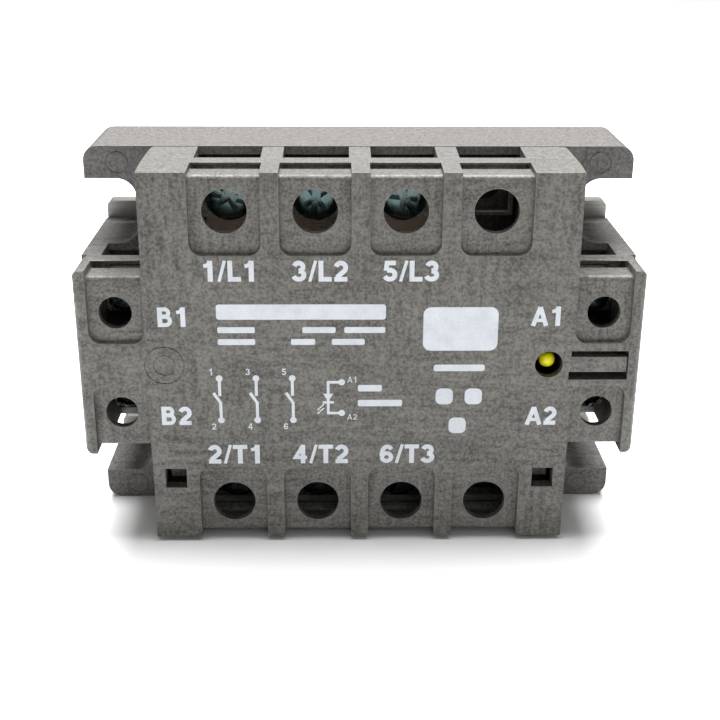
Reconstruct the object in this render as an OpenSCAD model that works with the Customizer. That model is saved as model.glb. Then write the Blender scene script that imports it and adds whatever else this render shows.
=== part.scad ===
// Three-phase solid state relay for panel or heatsink mounting.
// Every piece is drawn lying on its mounting face, x to the right, y up the front,
// z out towards the user, and is then stood up on its lower long side by upright().
// The origin is the centre of the metal mounting face.

/* [Overall size] */
// Width over the mounting ears
overall_w = 103.2; // [100:0.1:125]
// Height over the mounting ears
overall_h = 73.2; // [72:0.1:90]
// Depth from the mounting face to the front face
overall_d = 40.7; // [38:0.1:50]

/* [Housing] */
// Width of the middle body of the housing at its foot
body_w = 79; // [78:0.1:90]
// How far the body stays below the ears at the top and at the bottom
body_inset = 0.15; // [0:0.05:1]
// How far the body's top and bottom lean in from the foot to the front face
draft_ends = 0.7; // [0.1:0.1:1]
// How far the body's left and right sides lean in from the foot to the front face
draft_sides = 0.45; // [0.1:0.05:0.6]
// Height of the two side wings
wing_h = 35.8; // [34:0.1:42]
// Depth of the cover behind the front face
cover_d = 10.4; // [9.4:0.1:12]
// Height of the frame's front ledge, the ears' front, above the mounting face
ledge_z = 22.3; // [21:0.1:24]
// Thickness of the cover's front wall
front_t = 1.8; // [1.2:0.1:2.5]
// Thickness of the wall behind a recessed pod
pod_t = 1.6; // [1:0.1:2]
// Thickness of the housing's outer walls
wall = 1.5; // [1:0.1:2]
// Thickness of the wall between the circuit space and the wire chambers
inner_wall = 1.6; // [1:0.1:2]
// Radius of the body's four corners
body_corner_r = 1.5; // [0.5:0.1:3]
// Radius along the wings' outer front edges
wing_edge_r = 1.5; // [0.5:0.1:2]
// Width of the raised rim along the outside of each wing
wing_rim_w = 2.4; // [2:0.1:4]

/* [Mounting ears] */
// Height of an ear above its pocket
ear_h = 6.2; // [5:0.1:9]
// Radius of the ears' outer corners
ear_corner_r = 2.8; // [1:0.1:4]
// Depth of a mounting pocket from the outer side
pocket_d = 9.6; // [9:0.1:11]
// Radius of a pocket's inner corners
pocket_r = 3.7; // [1:0.1:5]
// Distance of a screw slot's round end from the outer side, to the middle of the round
slot_reach = 6.35; // [5:0.05:7]
// Width of an open-ended screw slot in the base plate
slot_w = 5.5; // [4.5:0.1:6.5]

/* [Base plate] */
// Thickness of the metal base plate
plate_t = 3.5; // [2:0.1:5]
// How far the plate stands proud behind the frame
plate_proud = 3.0; // [1:0.1:3.2]
// Height of frame left above and below the plate
plate_rim = 2.7; // [2:0.1:6]
// How far the plate's ends stay inside the ears
plate_end_gap = 0.3; // [0.1:0.05:1]

/* [Power terminals] */
// Distance between neighbouring power terminals
cell_pitch = 16; // [15.5:0.1:17.5]
// Distance of a power screw from the end of the front face
cell_edge = 7.15; // [7.1:0.05:9]
// Width of a recessed pod
pod_w = 12.7; // [12:0.1:13]
// Height of a recessed pod from the end of the front face
pod_h = 15; // [14:0.1:17]
// How far a pod's face lies behind the front face
pod_recess = 1.1; // [0.6:0.1:2]
// How far a pod's outer end lies inside the end of the front face
pod_drop = 0.8; // [0.5:0.1:1.5]
// Length of a pod's outer end, up to the rail behind it
pod_end_d = 7.0; // [5:0.1:8]
// Radius of a pod's inner corners
pod_r = 2.3; // [1:0.1:4]
// Width of a wire chamber and of its wire window
chamber_w = 12; // [11.5:0.1:12.5]
// Diameter of a driver hole
driver_hole_d = 8.0; // [6:0.1:9]
// Height of a power strap's top above the mounting face
strap_top = 25.2; // [24:0.1:26]
// Thickness of a power strap
strap_t = 1.5; // [1:0.1:2]
// Width of a power strap
strap_w = 9.6; // [8:0.1:10.5]
// Thickness of a power clamp plate
clamp_t = 1.5; // [1:0.1:2]
// Width of a power clamp plate
clamp_w = 11; // [9.5:0.1:11.2]
// Thread diameter of a power screw
screw_d = 4.9; // [4:0.1:5]
// Head diameter of a power screw
head_d = 9.2; // [8.2:0.1:9.6]
// Head height of a power screw
head_h = 3.0; // [2:0.1:3.5]
// Length of a power screw under its head
screw_l = 11; // [10:0.5:12]
// Height of a power nut
nut_t = 4; // [3:0.1:4.5]
// Width of a square power nut
nut_w = 8; // [7:0.1:8.5]

/* [Control terminals] */
// Distance of a control screw from the side of the middle body
control_in = 5.25; // [5:0.05:5.5]
// Distance of a control screw from the end of the wing
control_edge = 8.1; // [7.7:0.1:8.5]
// Distance of a control pod's inner end from the middle height
control_pod_end = 4.15; // [3.5:0.05:4.5]
// How far a control pod's outer end lies inside the end of the wing
control_drop = 1.3; // [0.5:0.1:2]
// Diameter of a control driver hole
control_hole_d = 6.0; // [4:0.1:6.5]
// Width of a control wire window
control_window_w = 8.1; // [7.6:0.1:8.3]
// Height of a control strip's top above the mounting face
strip_top = 28.5; // [27.5:0.1:28.6]
// Thickness of a control contact strip
strip_t = 0.8; // [0.5:0.1:1.2]
// Thickness of a control clamp plate
control_clamp_t = 1.0; // [0.6:0.1:1.2]
// Width of a control clamp plate
control_clamp_w = 6.6; // [5.5:0.1:6.8]
// Thread diameter of a control screw
control_screw_d = 2.9; // [2.4:0.1:3]
// Head diameter of a control screw
control_head_d = 5.6; // [5:0.1:6]
// Head height of a control screw
control_head_h = 2.2; // [1.5:0.1:2.4]
// Length of a control screw under its head
control_screw_l = 8; // [6:0.5:8]
// Height of a control nut
control_nut_t = 2.4; // [1.6:0.1:3]
// Width of a square control nut
control_nut_w = 5.5; // [5:0.1:5.6]

/* [Lamp, tongue and latches] */
// Distance of the status lamp from the right side of the front face
lamp_in = 4.35; // [4.1:0.05:5]
// Diameter of the lamp hole
lamp_hole_d = 5.1; // [4:0.1:6]
// Diameter of the lamp
lamp_d = 3.1; // [2.5:0.1:3.4]
// How far the lamp's top lies behind the front face
lamp_sink = 1.5; // [0.5:0.1:3]
// Height of the snap tongue
tongue_h = 3.0; // [2:0.1:4]
// Gap on the upper side of the snap tongue
tongue_gap_top = 1.1; // [0.6:0.1:1.2]
// Gap on the lower side of the snap tongue
tongue_gap_low = 1.5; // [0.6:0.1:1.6]
// Size of a square latch window
latch_window = 4; // [3:0.1:4.5]
// Distance of a latch window's middle from the side of the front face
latch_in = 4.25; // [4.1:0.05:4.8]
// Distance of a latch window's middle from the end of the front face
latch_edge = 12.6; // [11.5:0.1:12.8]

/* [Power part] */
// Thickness of a ceramic substrate
ceramic_t = 0.8; // [0.4:0.1:1.2]
// Width of a ceramic substrate
ceramic_w = 15; // [14:0.1:15.4]
// Thickness of the copper pads
pad_t = 0.3; // [0.2:0.05:0.5]
// Size of a thyristor chip
chip_w = 6.5; // [5:0.1:7]
// Thickness of a thyristor chip
chip_t = 0.35; // [0.2:0.05:0.6]
// Height of the gel's top above the mounting face
gel_top = 9; // [7:0.1:10]

/* [Circuit board] */
// Height of the board's underside above the mounting face
board_z = 23.9; // [23:0.1:24]
// Thickness of the board
board_t = 1.6; // [1:0.1:1.6]
// Gap between the board and the walls beside it
board_gap = 0.4; // [0.2:0.1:1]
// Diameter of an overvoltage disc
disc_d = 10.5; // [8:0.1:12]

/* [Hidden] */
$fn = 48;
fit = 0.1;              // easy fit between pieces that are pushed together
running = 0.05;         // radial play of a screw in its nut
over = 1;               // how far a cut runs past the face it opens
phases = [0, 1, 2];     // the fourth terminal of each row is left empty
rows = [1, -1];         // upper and lower terminal rows
sides = [-1, 1];        // left and right wings
// Slot direction of each power screw, top row and then bottom row
power_slot_turn = [[-14, 80, -52], [24, 8, 62]];
// Slot direction of each control screw, left side and then right side
control_slot_turn = [[35, 0], [-20, 90]];

body_h = overall_h - 2 * body_inset;
seam_z = overall_d - cover_d;
frame_back = plate_proud;
face_half_h = body_h / 2 - draft_ends;
face_half_w = body_w / 2 - draft_sides;
power_y = face_half_h - cell_edge;
lamp_x = face_half_w - lamp_in;
latch_x = face_half_w - latch_in;
latch_y = face_half_h - latch_edge;
pod_inner_y = face_half_h - pod_h;
pod_outer_y = face_half_h - pod_drop;
pod_face = overall_d - pod_recess;
cover_inside = pod_face - pod_t;
nose_r = 1;             // round along a pod's outer front edge
rail_z = overall_d - pod_end_d;
rail_bar = 1;           // how much of the rail behind a pod is left whole at the seam
rail_lip = 0.35;        // thickness of the lip that hangs over the hollow in that rail
rail_slot = 0.4;        // how far that hollow runs on into the pod's outer end
pod_side = 0.3;         // how much the space behind a pod is narrower on each side
chamber_out = body_h / 2 - wall;
cover_chamber_out = pod_outer_y - wall + 0.1;
circuit_half_w = face_half_w - wall - fit;
circuit_half_h = pod_inner_y - 3.7;
chamber_in = circuit_half_h + inner_wall;
chamber_floor = 17;
strap_bottom = strap_top - strap_t;
seat_half_w = 5;
seat_in = power_y - 4.9;
seat_out = power_y + 4.6;
head_seat = strap_top + clamp_t;
screw_tip = head_seat - screw_l;
wing_half_h = wing_h / 2;
wing_inner = face_half_w;
control_x = wing_inner + control_in;
control_y = wing_half_h - control_edge;
control_window_x = control_x - 0.45;
control_chamber_in = 3.4;
control_chamber_out = wing_half_h - wall;
control_chamber_floor = 19;
strip_bottom = strip_top - strip_t;
control_head_seat = strip_top + control_clamp_t;
control_seat_half = 3.5;
strip_w = 5.4;
strip_outer = control_x + 3.1;
strip_inner = circuit_half_w - 3.8;
strip_leg_w = 3;
strip_leg_tip = board_z - 1;
pocket_inner = overall_w / 2 - pocket_d;
pocket_low = wing_half_h;
pocket_high = overall_h / 2 - ear_h;
slot_x = overall_w / 2 - slot_reach;
slot_y = (pocket_low + pocket_high) / 2;
plate_half_w = overall_w / 2 - plate_end_gap;
plate_half_h = overall_h / 2 - plate_rim;
plate_corner_r = 1.2;
ceramic_top = plate_t + ceramic_t;
pad_top = ceramic_top + pad_t;
leg_out = circuit_half_h - 1.9;
leg_in = leg_out - strap_t;
leg_w = 6;
foot_in = leg_in - 2.6;
strap_end = power_y + 4.25;
ceramic_half_h = leg_out + 0.4;
middle_pad_half_h = foot_in - 1.2;
board_half_w = circuit_half_w - board_gap;
board_half_h = leg_in - 0.8;
board_top = board_z + board_t;
pin_d = 0.8;
pin_x = 5.4;
pin_y = 4.6;
post_w = 3;
post_t = 1.5;
nib = 0.9;
nib_h = 1.4;
shelf_t = 2;
shelf_z = seam_z + 4.6;
latch_wall = 0.6;
tip_play = 0.7;
chamber_base = 2;
column_in_x = 2 * cell_pitch - 0.4;
disc_t = 3.2;
lamp_top = overall_d - lamp_sink;
lamp_l = 5.3;
lead_pitch = 2.54;
lead_d = 0.6;
lead_end = 0.8;         // how far a lead stands out of the board
sensor_x = 1.5 * cell_pitch;
sensor_h = 2;
gate_x = -lamp_x - 1.1;
gate_rings = [[3.7, 3.5], [2.0, 1.85]];
mark_depth = 0.15;      // depth of the rings left by the gate and the ejectors
ejector_d = 4.2;
ejector_x = overall_w / 2 - 6.3;
ejector_y = overall_h / 2 - 3.1;
rim_inner = overall_w / 2 - wing_rim_w;
tongue_end_gap = 0.25;
tongue_room = 3;        // half height of the free space behind the tongue
tab_play = 0.3;         // gap between a strap and the cover's tab above it
tip_clear = 0.35;       // radial room around a screw's tip
board_ledge = 1.2;
clamp_h = 8.8;
control_clamp_h = 6.2;
groove = [0.4, 0.25];   // width and depth of a grip groove under a clamp plate
groove_pitch = 0.9;
opto = [6.4, 7.4, 3.4]; // width, height and thickness of an optocoupler's body
opto_lift = 0.5;
resistor_d = 2.4;
resistor_l = 6.4;

function cell_x(i) = (i - 1.5) * cell_pitch;

module upright() rotate([90, 0, 0]) children();

// A block between two corners
module block(x0, x1, y0, y1, z0, z1)
  translate([x0, y0, z0]) cube([x1 - x0, y1 - y0, z1 - z0]);

// A block centred on x and y
module centred(w, h, z0, z1) block(-w / 2, w / 2, -h / 2, h / 2, z0, z1);

// A block with four rounded corners, centred on x and y
module rounded(w, h, r, z0, z1) {
  translate([0, 0, z0]) linear_extrude(z1 - z0) rounded_outline(w, h, r);
}

module rounded_outline(w, h, r) {
  square([w - 2 * r, h], center = true);
  square([w, h - 2 * r], center = true);
  for (i = [-1, 1], j = [-1, 1])
    translate([i * (w / 2 - r), j * (h / 2 - r)]) circle(r);
}

module on_row(row) mirror([0, row < 0 ? 1 : 0, 0]) children();
module on_side(side) mirror([side < 0 ? 1 : 0, 0, 0]) children();

module each_power_cell(columns = [0:3]) {
  for (row = rows) on_row(row) for (i = columns) translate([cell_x(i), 0, 0]) children();
}

module each_control_cell() {
  for (side = sides, row = rows) on_side(side) on_row(row) children();
}

// ---- Housing ----

// The body's outer shape from its foot on the ledge up to the front face, with its draft
module drafted_body() intersection() {
  rounded(body_w, body_h, body_corner_r, ledge_z, overall_d);
  tapered(body_w, body_h / 2, draft_ends);
  rotate([0, 0, 90]) tapered(body_h, body_w / 2, draft_sides);
}

// A long block along x whose two y sides lean in by a length between the ledge and the front
module tapered(length, half, lean) {
  rotate([90, 0, 90]) translate([0, 0, -length / 2]) linear_extrude(length)
    polygon([[-half, ledge_z], [half, ledge_z], [half - lean, overall_d], [lean - half, overall_d]]);
}

module body_block(z0, z1) intersection() {
  drafted_body();
  centred(body_w + over, body_h + over, z0, z1);
}

module wings_block(z0, z1) centred(overall_w, wing_h, z0, z1);

// What a pod loses to the parts around it: the recess in the front face, its shorter outer end,
// the round along its nose and the hollow under the rail behind it. It reaches from x0 to x1 and
// from y0 to y1, and the rail's outside at the front is at y_rail.
module pod_waste(x0, x1, y0, y1, y_end, y_rail) {
  translate([(x0 + x1) / 2, (y0 + y_end) / 2 + pod_r, pod_face]) linear_extrude(pod_recess + over)
    rounded_outline(x1 - x0, y_end - y0 + 2 * pod_r, pod_r);
  block(x0, x1, y1, y_end + over, rail_z, overall_d + over);
  block(x0 + pod_side, x1 - pod_side, y1 - wall, y_rail - rail_lip, seam_z + rail_bar,
    rail_z + rail_slot);
  difference() {
    block(x0, x1, y1 - nose_r, y1 + over, pod_face - nose_r, pod_face + over);
    translate([x0 - over, y1 - nose_r, pod_face - nose_r]) rotate([0, 90, 0])
      cylinder(r = nose_r, h = x1 - x0 + 2 * over);
  }
}

module power_pod_waste()
  pod_waste(-pod_w / 2, pod_w / 2, pod_inner_y, pod_outer_y, body_h / 2, face_half_h + fit);

module control_pod_waste()
  pod_waste(wing_inner + fit, rim_inner, control_pod_end, wing_half_h - control_drop, wing_half_h,
    wing_half_h);

// Rounds a wing's outer front edge and the two front corners at its ends
module wing_edge_waste() {
  x = overall_w / 2;
  r = wing_edge_r;
  difference() {
    block(x - r, x + over, -wing_half_h - over, wing_half_h + over, overall_d - r, overall_d + over);
    translate([x - r, -wing_half_h - 2 * over, overall_d - r]) rotate([-90, 0, 0])
      cylinder(r = r, h = wing_h + 4 * over);
  }
  for (row = rows) on_row(row) difference() {
    block(x - r, x + over, wing_half_h - r, wing_half_h + over, seam_z - over, overall_d + over);
    translate([x - r, wing_half_h - r, seam_z - 2 * over]) cylinder(r = r, h = cover_d + 4 * over);
  }
}

// Three slots that free the tongue on the right wing
module tongue_waste() {
  x0 = wing_inner - 0.3;
  x1 = rim_inner + fit;
  z0 = cover_inside - over;
  block(x0, x1, tongue_h / 2, tongue_h / 2 + tongue_gap_top, z0, overall_d + over);
  block(x0 - 0.3, x1, -tongue_h / 2 - tongue_gap_low, -tongue_h / 2, z0, overall_d + over);
  block(x1 - tongue_end_gap, x1, -tongue_h / 2 - over, tongue_h / 2 + over, z0, overall_d + over);
}

// A shallow ring in a face that looks along +z
module ring_mark(r_out, r_in, z) {
  difference() {
    translate([0, 0, z - mark_depth]) cylinder(r = r_out, h = mark_depth + over);
    translate([0, 0, z - 2 * mark_depth]) cylinder(r = r_in, h = 2 * over);
  }
}

// Two faint rings left where the plastic was injected
module gate_mark_waste() for (ring = gate_rings) ring_mark(ring[0], ring[1], overall_d);

// Hollow behind a column of the cover, where a latch post stands
module latch_pocket()
  block(column_in_x, circuit_half_w, chamber_in + latch_wall, cover_chamber_out, seam_z - over,
    cover_inside);

// Shelf in that hollow, which the post's nib hooks over
module latch_shelf()
  block(latch_x - post_w / 2, circuit_half_w + over, latch_y - latch_window / 2, latch_y,
    shelf_z - shelf_t, shelf_z);

module cover() {
  color([0.43, 0.42, 0.40]) upright() {
    difference() {
      union() {
        body_block(seam_z, overall_d);
        wings_block(seam_z, overall_d);
      }
      // circuit space and wire chambers
      centred(2 * circuit_half_w, 2 * circuit_half_h, seam_z - over, overall_d - front_t);
      each_power_cell() {
        block(-pod_w / 2 + pod_side, pod_w / 2 - pod_side, chamber_in, cover_chamber_out,
          seam_z - over, cover_inside);
        translate([0, power_y, 0]) cylinder(d = driver_hole_d, h = overall_d + over);
        power_pod_waste();
      }
      each_control_cell() {
        block(control_window_x - control_window_w / 2, control_window_x + control_window_w / 2,
          control_chamber_in, control_chamber_out, seam_z - over, cover_inside);
        translate([control_x, control_y, 0]) cylinder(d = control_hole_d, h = overall_d + over);
        control_pod_waste();
      }
      for (side = sides) on_side(side) {
        wing_edge_waste();
        for (row = rows) on_row(row) latch_pocket();
        translate([latch_x, -latch_y, 0])
          centred(latch_window, latch_window, cover_inside - over, overall_d + over);
      }
      // free space behind the tongue, and the slots around it
      block(wing_inner - 0.9, rim_inner + fit, -tongue_room, tongue_room, seam_z - over,
        overall_d - front_t);
      tongue_waste();
      translate([lamp_x, 0, 0]) cylinder(d = lamp_hole_d, h = overall_d + over);
      translate([gate_x, 0, 0]) gate_mark_waste();
    }
    for (side = sides, row = rows) on_side(side) on_row(row) latch_shelf();
    // tabs that close the straps' slots behind the wire chambers
    each_power_cell(phases)
      block(-strap_w / 2, strap_w / 2, circuit_half_h + fit, chamber_in - fit, strap_top + tab_play,
        seam_z);
    each_control_cell()
      block(circuit_half_w + fit, wing_inner - 2 * fit, control_y - strip_w / 2, control_y + strip_w / 2,
        strip_top + tab_play, seam_z);
  }
}

// Cut for one mounting pocket at the upper right ear
module pocket_waste(z0, z1) {
  translate([pocket_inner + pocket_d, slot_y, z0]) linear_extrude(z1 - z0)
    rounded_outline(2 * pocket_d, pocket_high - pocket_low, pocket_r);
}

// Room for the tip of a power screw
module tip_room()
  translate([0, power_y, screw_tip - tip_play]) cylinder(r = screw_d / 2 + tip_clear, h = screw_l);

// Seat that holds a power nut under its strap
module power_seat() {
  difference() {
    block(-seat_half_w, seat_half_w, seat_in, seat_out, chamber_floor - over, strap_bottom);
    translate([0, power_y, 0])
      centred(nut_w + 2 * fit, nut_w + 2 * fit, strap_bottom - nut_t, strap_bottom + over);
    tip_room();
  }
}

module control_seat() {
  difference() {
    block(control_x - control_seat_half, control_x + control_seat_half, control_y - control_seat_half,
      control_y + control_seat_half, control_chamber_floor - over, strip_bottom);
    translate([control_x, control_y, 0]) centred(control_nut_w + 2 * fit, control_nut_w + 2 * fit,
      strip_bottom - control_nut_t, strip_bottom + over);
    translate([control_x, control_y, control_chamber_floor - over])
      cylinder(r = control_screw_d / 2 + tip_clear, h = strip_bottom);
  }
}

// Post with a snap nib that hooks over the cover's shelf
module latch_post() {
  block(latch_x - post_w / 2, latch_x + post_w / 2, latch_y + 2 * fit, latch_y + 2 * fit + post_t,
    seam_z - over, shelf_z + nib_h);
  block(latch_x - post_w / 2, latch_x + post_w / 2, latch_y - nib, latch_y + post_t, shelf_z + fit / 2,
    shelf_z + nib_h);
}

module base_frame() {
  color([0.41, 0.39, 0.39]) upright() {
    difference() {
      union() {
        rounded(overall_w, overall_h, ear_corner_r, frame_back, ledge_z);
        body_block(ledge_z, seam_z);
        wings_block(ledge_z - over, seam_z);
      }
      for (side = sides, row = rows) on_side(side) on_row(row) {
        pocket_waste(frame_back - over, ledge_z + over);
        // shallow ring left by an ejector
        translate([ejector_x, ejector_y, 0])
          ring_mark(ejector_d / 2, ejector_d / 2 - mark_depth, ledge_z);
        // hollows behind the columns and the wings
        block(column_in_x, circuit_half_w, chamber_in, chamber_out - over, plate_t - over, ledge_z);
      }
      // seat of the base plate, open at both ends
      centred(overall_w + 2 * over, 2 * (plate_half_h + fit), frame_back - over, plate_t);
      // circuit space
      centred(2 * circuit_half_w, 2 * circuit_half_h, plate_t - over, seam_z + over);
      each_power_cell() {
        block(-chamber_w / 2, chamber_w / 2, chamber_in, chamber_out, chamber_floor, seam_z + over);
        // wire window
        block(-chamber_w / 2, chamber_w / 2, chamber_out - over, body_h / 2 + over, ledge_z,
          seam_z + over);
        tip_room();
        // hollow behind the chamber
        block(-chamber_w / 2, chamber_w / 2, chamber_in, plate_half_h - fit, plate_t - over,
          screw_tip - tip_play - chamber_base);
      }
      each_power_cell(phases)
        block(-strap_w / 2 - fit, strap_w / 2 + fit, circuit_half_h - over, chamber_in + over,
          strap_bottom, seam_z + over);
      each_control_cell() {
        x0 = control_window_x - control_window_w / 2;
        x1 = control_window_x + control_window_w / 2;
        block(x0, x1, control_chamber_in, control_chamber_out, control_chamber_floor, seam_z + over);
        block(x0, x1, control_chamber_out - over, wing_half_h + over, ledge_z, seam_z + over);
        // slot for the strip on its way to the board
        block(circuit_half_w - over, x0 + over, control_y - strip_w / 2 - fit,
          control_y + strip_w / 2 + fit, strip_bottom, seam_z + over);
      }
    }
    each_power_cell() power_seat();
    each_control_cell() control_seat();
    for (side = sides, row = rows) on_side(side) on_row(row) {
      latch_post();
      // corner ledge under the board
      block(board_half_w - board_ledge, circuit_half_w + over, board_half_h - board_ledge,
        circuit_half_h + over, gel_top + 0.5, board_z);
    }
  }
}

// Takes an outer corner at the origin off a flat outline; the outline is below and left of it
module corner_waste(r) difference() {
  translate([-r, -r]) square(r + over);
  translate([-r, -r]) circle(r);
}

module base_plate() {
  color([0.62, 0.62, 0.61]) upright() linear_extrude(plate_t) difference() {
    rounded_outline(2 * plate_half_w, 2 * plate_half_h, plate_corner_r);
    for (side = sides, row = rows) on_side(side) on_row(row) {
      translate([slot_x, slot_y]) circle(d = slot_w);
      translate([slot_x, slot_y - slot_w / 2]) square([overall_w / 2 + over - slot_x, slot_w]);
      translate([plate_half_w, slot_y - slot_w / 2]) corner_waste(plate_corner_r);
      translate([plate_half_w, slot_y + slot_w / 2]) mirror([0, 1]) corner_waste(plate_corner_r);
    }
  }
}

// ---- Power part on the base plate ----

module ceramic_shape(i)
  translate([cell_x(i), 0, 0]) centred(ceramic_w, 2 * ceramic_half_h, plate_t, ceramic_top);

module pads_shape(i) translate([cell_x(i), 0, 0]) {
  centred(ceramic_w - 2, 2 * middle_pad_half_h, ceramic_top, pad_top);
  for (row = rows) on_row(row)
    block(-ceramic_w / 2 + 1, ceramic_w / 2 - 1, foot_in - 0.3, leg_out + 0.1, ceramic_top, pad_top);
}

module chips_shape(i) translate([cell_x(i), 0, 0])
  for (row = rows)
    translate([0, row * pin_y, 0]) centred(chip_w, chip_w, pad_top, pad_top + chip_t);

module pins_shape(i) translate([cell_x(i), 0, 0])
  for (x = [-pin_x, pin_x], y = [-pin_y, pin_y])
    translate([x, y, pad_top]) cylinder(d = pin_d, h = board_top + lead_end - pad_top);

module ceramic(i) color("white") upright() ceramic_shape(i);
module copper_pads(i) color([0.80, 0.50, 0.33]) upright() pads_shape(i);
module thyristors(i) color([0.25, 0.25, 0.28]) upright() chips_shape(i);
module gate_pins() color([0.80, 0.78, 0.72]) upright() for (i = phases) pins_shape(i);

// Bead on the plate under the empty fourth terminal, with two wires up to the board
module sensor_shape() translate([sensor_x, 0, 0]) {
  centred(4, 3.2, plate_t, plate_t + sensor_h);
  for (side = sides) translate([side * lead_pitch / 2, 0, plate_t + sensor_h])
    cylinder(d = lead_d, h = board_top + lead_end - plate_t - sensor_h);
}

module temperature_sensor() color([0.15, 0.15, 0.15]) upright() sensor_shape();

// Foot on the copper pad, leg past the board, and flat tongue under the clamp plate
module strap_shape() {
  difference() {
    union() {
      block(-leg_w / 2, leg_w / 2, foot_in, leg_out, pad_top, pad_top + strap_t);
      block(-leg_w / 2, leg_w / 2, leg_in, leg_out, pad_top, strap_top);
      block(-leg_w / 2, leg_w / 2, leg_in, seat_in, strap_bottom, strap_top);
      block(-strap_w / 2, strap_w / 2, circuit_half_h - 0.6, strap_end, strap_bottom, strap_top);
    }
    translate([0, power_y, 0]) cylinder(d = screw_d + 0.4, h = overall_d);
  }
}

module power_strap(i, row)
  color([0.80, 0.62, 0.50]) upright() on_row(row) translate([cell_x(i), 0, 0]) strap_shape();

module potting_gel() {
  color([0.85, 0.88, 0.90, 0.5]) upright() difference() {
    centred(2 * circuit_half_w, 2 * circuit_half_h, plate_t, gel_top);
    for (i = phases) {
      ceramic_shape(i);
      pads_shape(i);
      chips_shape(i);
      pins_shape(i);
    }
    each_power_cell(phases) strap_shape();
    sensor_shape();
  }
}

// ---- Terminals ----

module nut_shape(w, h, d) difference() {
  centred(w, w, 0, h);
  translate([0, 0, -over]) cylinder(d = d, h = h + 2 * over);
}

module power_nuts() color([0.72, 0.74, 0.72]) upright() each_power_cell(phases)
  translate([0, power_y, strap_bottom - nut_t]) nut_shape(nut_w, nut_t, screw_d + 2 * running);

module control_nuts() color([0.72, 0.74, 0.72]) upright() each_control_cell()
  translate([control_x, control_y, strip_bottom - control_nut_t])
    nut_shape(control_nut_w, control_nut_t, control_screw_d + 2 * running);

// Flat clamp plate with a hole and grooves under it that grip the wire; it lies on z = 0
module clamp_shape(w, h, t, d, grooves) difference() {
  rounded(w, h, 0.8, 0, t);
  translate([0, 0, -over]) cylinder(d = d, h = t + 2 * over);
  for (i = [0:grooves - 1], side = sides)
    translate([side * (d / 2 + (i + 0.8) * groove_pitch), 0, 0])
      centred(groove[0], h + over, -over, groove[1]);
}

module power_clamp(i, row) color([0.78, 0.78, 0.74]) upright() on_row(row)
  translate([cell_x(i), power_y, strap_top]) clamp_shape(clamp_w, clamp_h, clamp_t, screw_d + 2 * fit, 3);

module control_clamp(side, row) color([0.85, 0.84, 0.80]) upright() on_side(side) on_row(row)
  translate([control_x, control_y, strip_top])
    clamp_shape(control_clamp_w, control_clamp_h, control_clamp_t, control_screw_d + 2 * fit, 2);

// Pan head screw with a slot and a cross recess; the underside of its head is at z = 0
module screw_shape(d, l, hd, hh, turn) {
  dome = hh * 0.45;        // radius of the head's rounded edge
  slot = hd * 0.13;
  cross = [hd * 0.56, hd * 0.12];
  difference() {
    union() {
      translate([0, 0, -l]) cylinder(d = d, h = l);
      rotate_extrude() difference() {
        square([hd / 2, hh]);
        translate([hd / 2 - dome, hh - dome]) difference() {
          square(dome + over);
          circle(dome);
        }
      }
    }
    translate([0, 0, hh * 0.45]) rotate([0, 0, turn]) linear_extrude(hh) {
      square([hd + over, slot], center = true);
      for (a = [45, 135]) rotate(a) square(cross, center = true);
    }
  }
}

module power_screw(i, row) color([0.55, 0.62, 0.60]) upright()
  translate([cell_x(i), row * power_y, head_seat])
    screw_shape(screw_d, screw_l, head_d, head_h, power_slot_turn[row > 0 ? 0 : 1][i]);

module control_screw(side, row) color([0.55, 0.62, 0.60]) upright()
  translate([side * control_x, row * control_y, control_head_seat])
    screw_shape(control_screw_d, control_screw_l, control_head_d, control_head_h,
      control_slot_turn[side > 0 ? 1 : 0][row > 0 ? 0 : 1]);

// Tinned strip from under the control screw to its leg in the board
module strip_shape() difference() {
  union() {
    block(strip_inner, strip_outer, control_y - strip_w / 2, control_y + strip_w / 2, strip_bottom,
      strip_top);
    block(strip_inner, strip_inner + strip_t, control_y - strip_leg_w / 2,
      control_y + strip_leg_w / 2, strip_leg_tip, strip_top);
  }
  translate([control_x, control_y, 0]) cylinder(d = control_screw_d + 0.4, h = overall_d);
}

module control_strip(side, row)
  color([0.86, 0.85, 0.81]) upright() on_side(side) on_row(row) strip_shape();

// ---- Circuit board and what is on it ----

module circuit_board() {
  color([0.12, 0.36, 0.20]) upright() difference() {
    centred(2 * board_half_w, 2 * board_half_h, board_z, board_top);
    for (i = phases, x = [-pin_x, pin_x], y = [-pin_y, pin_y])
      translate([cell_x(i) + x, y, 0]) cylinder(d = pin_d + 2 * fit, h = overall_d);
    for (side = sides, x = [sensor_x, lamp_x])
      translate([x + side * lead_pitch / 2, 0, 0]) cylinder(d = lead_d + 2 * fit, h = overall_d);
    each_control_cell() block(strip_inner - fit, strip_inner + strip_t + fit,
      control_y - strip_leg_w / 2 - fit, control_y + strip_leg_w / 2 + fit, 0, overall_d);
  }
}

// Six-legged packages standing on the board
module optocouplers() {
  leg = [0.3, 0.6];        // thickness and width of a leg
  leg_x = opto[0] / 2 + 0.8;
  shoulder = opto_lift + opto[2] / 2 - 0.1;
  color([0.92, 0.92, 0.90]) upright() for (i = phases) translate([cell_x(i), 0, board_top]) {
    centred(opto[0], opto[1], opto_lift, opto_lift + opto[2]);
    for (side = sides, y = [-lead_pitch, 0, lead_pitch]) on_side(side) {
      block(opto[0] / 2, leg_x, y - leg[1] / 2, y + leg[1] / 2, shoulder - leg[0], shoulder);
      block(leg_x - leg[0], leg_x, y - leg[1] / 2, y + leg[1] / 2, 0, shoulder);
    }
  }
}

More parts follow.
